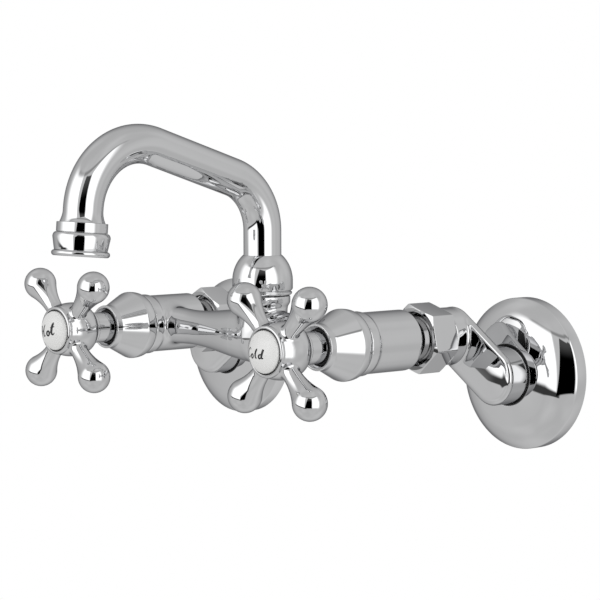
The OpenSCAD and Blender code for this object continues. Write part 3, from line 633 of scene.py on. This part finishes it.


# The bonnets: turned chromed covers, screwed on the cartridges, that taper to
# a rim round the handle's sleeve. A black rubber lip closes the gap between them;
# its black also stands in for the shade deep in that gap (painted shade).
bonnet_r, bonnet_belt_d, bonnet_front_d = 16.35, 97.0, 112.6
bonnet_foot_r, bonnet_rim_r = 13.3, 10.5
bonnet_outline = (
    [(bonnet_foot_r, barrel_front_d), (14.8, barrel_front_d)]
    + arc(bonnet_r - 1.55, bonnet_belt_d, 1.55, 5.2, -88, 0, 10)
    + arc(bonnet_r - 2.0, bonnet_belt_d, 2.0, 2.4, 8, 30, 6)
    + corner_arc([(16.08, 98.2), (10.8, 108.6, 0.35), (bonnet_rim_r, 109.4, 0.5),
                  (bonnet_rim_r, bonnet_front_d, 0.55), (9.5, bonnet_front_d, 0.3), (8.25, 111.3, 0.2),
                  (8.25, 105.0), (11.6, 103.0)])[1:]
    + [(14.6, bonnet_belt_d), (bonnet_foot_r, 93.5), (bonnet_foot_r, barrel_front_d)])
lip_r, lip_edge_r, lip_back_d = 7.43, 8.23, 110.1
lip_outline = [
    (lip_r, lip_back_d), (lip_edge_r, lip_back_d), (lip_edge_r, lip_back_d + 1.1), (7.9, lip_back_d + 0.8),
    (lip_r, lip_back_d + 1.0), (lip_r, lip_back_d)]
for side, valve, cover in pair(turned("valve_cover", bonnet_outline, 160)):
    settle(cover, on_valve(side))
    dress(cover, chrome, "mixer", "chrome", valve + "_bonnet")
# Painted shade: the black lip fills the gap round each sleeve where shade falls.
for side, valve, lip in pair(turned("dust_lip_painted_shade", lip_outline)):
    settle(lip, on_valve(side))
    dress(lip, rubber, "mixer", "rubber")


# The cross handles: four pear-shaped arms on a turned hub, cast in one and
# chromed, with a crisp ring round the button and a sleeve into the bonnet.
ring_d, arms_d, handle_back_d = 142.6, 135.5, 121.3
ring_r, cup_r, ring_foot_d = 11.5, 10.1, 139.2
belt_r, belt_d, cup_floor_d = 13.1, 132.5, 139.3
handle_hub_r, ball_circle_r, ball_r, pear_neck_r = 12.9, 30.1, 7.8, 4.1
sleeve_r, sleeve_bore_r, sleeve_back_d, sleeve_front_d = 7.4, 4.6, 110.5, 123
handle_grain = 0.32
hub_shape = (
    [(0, handle_back_d), (8.2, handle_back_d), (8.5, handle_back_d + 0.3), (8.5, handle_back_d + 1.4),
     (8.2, handle_back_d + 1.7)]
    + arc(belt_r - 5.0, belt_d, 5.0, 9.1, -80, 0, 20)
    + arc(belt_r - 3.8, belt_d, 3.8, 9.47, 6, 60, 12)
    + [(11.2, 141.0), (10.7, 141.0), (10.7, cup_floor_d), (0, cup_floor_d)])
meeting = math.radians(65)
rise_z = ball_circle_r - ball_r * math.cos(meeting) - handle_hub_r - 0.5
widen = ball_r * math.sin(meeting) - pear_neck_r
pear_shape = (
    [(0, 6), (pear_neck_r + 0.5, 6), (pear_neck_r + 0.3, handle_hub_r - 1.2)]
    + [(pear_neck_r + widen * t * t * (3 - 2 * t) - rise_z / math.tan(meeting) * t * t * (1 - t),
        handle_hub_r + 0.5 + rise_z * t) for t in np.linspace(0, 1, 22)]
    + arc(0, ball_circle_r, ball_r, ball_r, -22, 90, 26))
ring_shape = corner_arc([
    (cup_r, ring_foot_d), (cup_r, ring_d, 0.25), (ring_r, ring_d, 0.9), (ring_r, 140.6), (10.9, 140.4),
    (10.9, ring_foot_d)]) + [(cup_r, ring_foot_d)]
sleeve_shape = corner_arc([
    (sleeve_bore_r, sleeve_back_d), (sleeve_r, sleeve_back_d, 0.3), (sleeve_r, sleeve_front_d),
    (sleeve_bore_r, sleeve_front_d)]) + [(sleeve_bore_r, sleeve_back_d)]


def where_arms_meet_hub(at):
    from_axis = np.hypot(at[:, 0], at[:, 1])
    return (from_axis > 11.9) & (from_axis < 15.5) & (at[:, 2] < 140.4)


arms = [settle(arm, shift(0, 0, arms_d) @ spun(45 + 90 * k, "Z") @ spun(-90, "X"))
        for k, arm in enumerate(copies(turned("arm", pear_shape, 96), 4))]
handle = cast("cross", [turned("hub", hub_shape, 128)] + arms, handle_grain)
smooth_near(handle, 12, where_arms_meet_hub)
joined("cross", [handle, turned("ring", ring_shape, 128), turned("sleeve", sleeve_shape, 96)])
for side, valve, cross in pair(handle):
    settle(cross, on_valve(side))
    dress(cross, chrome, valve + "_handle", "chrome", valve + "_cross_handle")


# The index buttons: domed white porcelain, glazed, pushed into the handles'
# rings on a thin black seal whose black also stands in for the shade in the gap
# round the button (painted shade). Each is lettered in black script under the glaze.
button_r, button_back_d, button_edge_d, crown = 9.4, 139.5, 143.5, 4.0
dome_ball = (button_r ** 2 + crown ** 2) / 2 / crown
seal_r, seal_edge_r, seal_back_d = 9.43, 10.07, 139.6


def crown_height(r):
    """The height of the button's face at that radius."""
    return button_edge_d - (dome_ball - crown) + math.sqrt(max(dome_ball ** 2 - r * r, 0))


button_shape = (
    [(0, button_back_d), (button_r, button_back_d), (button_r, button_edge_d - 0.55),
     (button_r - 0.04, button_edge_d - 0.3), (button_r - 0.16, button_edge_d - 0.08)]
    + [(r, crown_height(r)) for r in np.linspace(button_r - 0.35, 0, 28)])
seal_shape = [
    (seal_r, seal_back_d), (seal_edge_r, seal_back_d), (seal_edge_r, 142.2), (9.75, 142.05),
    (seal_r, 142.3), (seal_r, seal_back_d)]
glaze, place = new_material("porcelain_glaze")
cloud = place.noise(160.0, 3.0)
pits = place.noise(1400.0, 1.0).bump(0.02, 0.00001)
put_on(glaze, pits.node("BsdfPrincipled", inputs={
    "Base Color": cloud.mix((0.80, 0.80, 0.79), (0.84, 0.84, 0.835)), "Roughness": cloud * 0.08 + 0.12,
    "Specular IOR Level": 0.35, "Normal": pits}))
ink, place = new_material("black_script")
thin = place.noise(700.0, 2.0)
put_on(ink, thin.node("BsdfPrincipled", inputs={
    "Base Color": thin.mix((0.012, 0.012, 0.014), (0.03, 0.03, 0.032)), "Roughness": thin * 0.2 + 0.25,
    "Specular IOR Level": 0.3}))

# Strokes of the script, each a line of (x, y, half-width), with the baseline at
# y = 0 and the small letters 2.1 high.
letter_c = [
    [(3.3, 3.5, .16), (3.0, 4.2, .12), (2.2, 4.4, .14), (1.2, 3.6, .24), (0.5, 2.2, .32), (0.5, 0.8, .3),
     (1.2, 0.05, .2), (2.2, 0.3, .12), (3.0, 1.0, .1)]]
letter_h = [
    [(0.0, 4.0, .12), (0.7, 4.6, .15), (1.5, 4.4, .2), (1.3, 2.6, .3), (0.9, 0.8, .28), (0.2, -0.1, .15),
     (-0.4, 0.3, .12)],
    [(4.0, 4.8, .15), (3.2, 3.6, .25), (2.6, 1.8, .3), (2.5, 0.4, .25), (3.1, 0.1, .14), (3.7, 0.7, .1)],
    [(0.4, 2.2, .1), (1.6, 2.5, .13), (3.0, 2.3, .1)]]
letter_o = [
    [(1.5, 2.0, .16), (0.8, 1.8, .26), (0.3, 1.0, .32), (0.6, 0.15, .24), (1.4, 0.1, .18), (2.0, 0.9, .3),
     (1.9, 1.7, .26), (1.4, 2.05, .16), (1.5, 1.6, .1), (2.3, 1.5, .1)]]
letter_l = [
    [(0.0, 0.9, .1), (0.9, 2.6, .12), (1.6, 4.1, .2), (1.2, 4.3, .16), (0.7, 3.0, .3), (0.3, 1.2, .33),
     (0.6, 0.1, .22), (1.3, 0.4, .12)]]
letter_d = [
    [(1.9, 1.9, .15), (1.1, 2.05, .18), (0.4, 1.3, .3), (0.4, 0.3, .28), (1.1, 0.1, .18), (1.8, 1.0, .15),
     (2.4, 2.4, .26), (2.9, 4.2, .3)],
    [(2.9, 4.2, .3), (2.2, 2.2, .34), (1.8, 0.7, .3), (2.1, 0.1, .2), (2.8, 0.5, .1)]]
letter_t = [
    [(0.0, 1.0, .1), (0.9, 2.4, .14), (2.0, 5.2, .3), (1.3, 3.3, .34), (0.7, 1.4, .34), (0.8, 0.2, .24),
     (1.5, 0.2, .14), (2.1, 0.8, .1)],
    [(0.4, 3.1, .12), (1.3, 3.3, .16), (2.4, 3.2, .1)]]

# Each word's slope in degrees, the size and stroke of its letters, and their places.
script = {
    "cold": (0.0, 1.0, 1.65, [
        (letter_c, -7.3, -2.4), (letter_o, -4.1, -2.6), (letter_l, -1.0, -2.6), (letter_d, 1.1, -2.6)]),
    "hot": (11.0, 1.2, 1.95, [(letter_h, -5.1, -2.0), (letter_o, -0.6, -2.0), (letter_t, 1.8, -2.0)]),
}
word_reach, ink_relief = button_r - 0.6, 0.1


def lettering(name, size, pen, letters):
    """Writes letters flat, as round strokes."""
    strokes = bpy.data.curves.new(name, "CURVE")
    strokes.dimensions = "3D"
    strokes.resolution_u = 5
    strokes.bevel_depth = MM
    strokes.bevel_resolution = 3
    strokes.use_fill_caps = True
    for letter, left, base in letters:
        for stroke in letter:
            line = strokes.splines.new("NURBS")
            line.points.add(len(stroke) - 1)
            line.order_u = 3
            line.use_endpoint_u = True
            for point, (x, y, half) in zip(line.points, stroke):
                point.co = ((x + left) * size * MM, (y + base) * size * MM, 0, 1)
                point.radius = half * pen
    word = bpy.data.objects.new(name, strokes)
    bpy.context.scene.collection.objects.link(word)
    take(word)
    bpy.ops.object.convert(target="MESH")
    return bpy.context.object


# Painted shade: the black seal fills the gap between each button and its ring.
for side, valve, seal in pair(turned("button_seal_painted_shade", seal_shape)):
    settle(seal, on_valve(side))
    dress(seal, rubber, valve + "_handle", "rubber")
for side, valve, button in pair(turned("porcelain_button", button_shape, 128)):
    settle(button, on_valve(side))
    dress(button, glaze, valve + "_handle", "porcelain", valve + "_index_button")
for side, valve in sides:
    slope, size, pen, letters = script[valve]
    word = settle(lettering(valve + "_word", size, pen, letters), spun(slope, "Z"))
    for vertex in word.data.vertices:
        r = math.hypot(vertex.co.x, vertex.co.y) / MM
        if r > word_reach:
            vertex.co.x *= word_reach / r
            vertex.co.y *= word_reach / r
            r = word_reach
        vertex.co.z = crown_height(r) * MM + vertex.co.z * ink_relief
    bpy.ops.object.shade_smooth_by_angle(angle=math.radians(40))
    settle(word, on_valve(side))
    dress(word, ink, valve + "_handle", "porcelain")


# The spout: one drawn brass tube, bent twice and flared at its outlet, then
# chromed. Its foot turns in the hub, under the spout nut.
tube_r, tube_wall = 9.0, 1.2
tube_foot_z, post_top, first_r, first_turn = 28.2, 48.3, 26.9, 72.6
run_len, second_r, second_turn = 48.5, 31.3, 102.5
straight_end, flare_len, flare_wide, flare_steps = 0.8, 5.3, 1.3, 10
lip_len, lip_shrink = 0.05, 0.84


def draw_on(way):
    """Draws the tube's open end out by a vector in millimetres."""
    bpy.ops.mesh.extrude_region_move(TRANSFORM_OT_translate={"value": way * MM})


bpy.ops.object.select_all(action="DESELECT")
bpy.ops.mesh.primitive_circle_add(
    vertices=96, radius=tube_r * MM, location=(0, -bar_d * MM, tube_foot_z * MM))
spout = bpy.context.object
spout.name = "bent_tube"
settle(spout)
bpy.ops.object.mode_set(mode="EDIT")
draw_on(Vector((0, 0, post_top - tube_foot_z)))
middle = Vector((0, -bar_d - first_r, post_top))
bpy.ops.mesh.spin(steps=48, angle=math.radians(first_turn), center=middle * MM, axis=(-1, 0, 0))
lean = math.radians(first_turn)
ahead = Vector((0, -math.sin(lean), math.cos(lean)))
outward = Vector((0, math.cos(lean), math.sin(lean)))
draw_on(ahead * run_len)
middle = middle + outward * first_r + ahead * run_len - outward * second_r
bpy.ops.mesh.spin(steps=72, angle=math.radians(second_turn), center=middle * MM, axis=(-1, 0, 0))
lean += math.radians(second_turn)
outlet_down = Vector((0, -math.sin(lean), math.cos(lean)))
outlet = middle + Vector((0, math.cos(lean), math.sin(lean))) * second_r
draw_on(outlet_down * straight_end)
reach, wide = straight_end, tube_r
for t in np.linspace(1 / flare_steps, 1, flare_steps):
    step = straight_end + flare_len * t - reach
    draw_on(outlet_down * step)
    reach += step
    grown = tube_r + flare_wide * t * t
    bpy.ops.transform.resize(
        value=(grown / wide,) * 3, center_override=(outlet + outlet_down * reach) * MM)
    wide = grown
draw_on(outlet_down * lip_len)
bpy.ops.transform.resize(
    value=(lip_shrink,) * 3, center_override=(outlet + outlet_down * (reach + lip_len)) * MM)
bpy.ops.mesh.select_all(action="SELECT")
bpy.ops.mesh.remove_doubles(threshold=0.002 * MM)
bpy.ops.mesh.normals_make_consistent(inside=False)
bpy.ops.object.mode_set(mode="OBJECT")
wall = spout.modifiers.new("wall", "SOLIDIFY")
wall.thickness = tube_wall * MM
wall.offset = -1
bpy.ops.object.modifier_apply(modifier=wall.name)
bpy.ops.object.shade_smooth_by_angle(angle=math.radians(30))
dress(spout, chrome, "spout", "chrome", "spout_tube")


# The spout nut: a half-ball with a grooved foot, turned in brass and chromed. It
# is screwed on the hub round the tube.
dome_bore_r, dome_foot_z, dome_side_r, dome_side_z = 10.6, 17.9, 14.4, 24.6
dome_top_h, dome_mouth_r = 15.86, 9.06
dome_outline = (
    corner_arc([
        (dome_bore_r, dome_foot_z), (13.4, dome_foot_z, 0.35), (14.0, 18.5, 0.3), (14.0, 19.3, 0.35),
        (13.4, 19.6, 0.25), (13.6, 20.0, 0.3), (14.05, 20.2)])
    + [(dome_side_r, 20.9)] + arc(0, dome_side_z, dome_side_r, dome_top_h, 0, 49.8, 40)
    + corner_arc([(9.3, 36.7), (dome_mouth_r, 36.75, 0.1), (dome_mouth_r, tube_foot_z)])
    + [(dome_bore_r, tube_foot_z), (dome_bore_r, dome_foot_z)])
dome = settle(turned("spout_dome_nut", dome_outline, 160), shift(0, -bar_d, 0))
dress(dome, chrome, "spout", "chrome", "spout_nut")


# The outlet: a sharp-edged ferrule on the tube's end, and the aerator's shell
# with its bead, screwed on the ferrule. Both are turned in brass and chromed.
ferrule_r, ferrule_thread_r, ferrule_bore_r = 11.5, 10.8, 8.9
ferrule_top, ferrule_edge, ferrule_end = 6.15, 10.5, 15.0
shell_start, shell_lip, shell_end = 10.6, 20.3, 21.3
shell_wide, shell_inside_r, shell_bore_r, bead_r = 12.95, 10.85, 9.55, 1.35


def at_outlet():
    """From the outlet's own axis, its +Z pointing where the water leaves, to its place."""
    return shift(*outlet) @ Matrix.Rotation(lean, 4, "X")


ferrule_outline = corner_arc([
    (ferrule_bore_r, ferrule_top), (ferrule_r, ferrule_top, 0.2), (ferrule_r, ferrule_edge, 0.2),
    (ferrule_thread_r, ferrule_edge), (ferrule_thread_r, ferrule_end), (ferrule_bore_r, ferrule_end),
    (ferrule_bore_r, ferrule_top)])
ferrule = settle(turned("outlet_ferrule", ferrule_outline), at_outlet())
dress(ferrule, chrome, "spout", "chrome", "spout_ferrule")
shell_outline = (
    [(shell_inside_r, shell_start), (11.4, shell_start)]
    + arc(shell_wide - 1.45, 12.8, 1.45, 2.2, -84, 0, 10)
    + corner_arc([(shell_wide, 12.9), (12.1, 17.6, 0.3), (11.9, 18.55)])[1:]
    + arc(11.75, shell_end - bead_r, bead_r, bead_r, -78, 82, 12)
    + corner_arc([
        (11.85, shell_end), (shell_bore_r, shell_end, 0.2), (shell_bore_r, shell_lip),
        (shell_inside_r, shell_lip)])[1:]
    + [(shell_inside_r, shell_start)])
shell = settle(turned("aerator_cap", shell_outline), at_outlet())
dress(shell, chrome, "aerator", "chrome", "aerator_shell")


# What the CAD model already shapes well stays and only gets its finish: the
# cartridges, seals, rings, discs and screws inside, and the jet insert.
finishes = {
    "brass": plain_finish("turned_brass", (0.70, 0.52, 0.24), (0.80, 0.62, 0.32), 1.0, 0.2, 600.0, 0.2),
    "rubber": rubber,
    "nylon": plain_finish("white_nylon", (0.72, 0.72, 0.68), (0.80, 0.80, 0.76), 0.0, 0.4, 500.0, 0.2),
    "ceramic": plain_finish("ground_ceramic", (0.78, 0.77, 0.72), (0.86, 0.85, 0.81), 0.0, 0.2, 1200.0, 0.1),
    "steel": plain_finish("stainless_steel", (0.50, 0.50, 0.51), (0.60, 0.60, 0.61), 1.0, 0.22, 800.0, 0.2),
}
kept = {
    "aerator_insert": "nylon", "aerator_washer": "rubber", "spout_glide_ring": "nylon",
    "spout_o_rings": "rubber"}
valve_insides = {
    "cartridge_body": "brass", "spindle": "brass", "turning_disc": "ceramic", "fixed_disc": "ceramic",
    "seat_washer": "rubber", "spindle_o_ring": "rubber", "handle_screw": "steel",
    "union_washer": "rubber", "snap_ring": "steel"}
for side, valve in sides:
    for part, slot in valve_insides.items():
        kept[valve + "_" + part] = slot
for node, slot in kept.items():
    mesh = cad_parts[node].data
    mesh.materials.clear()
    mesh.materials.append(finishes[slot])
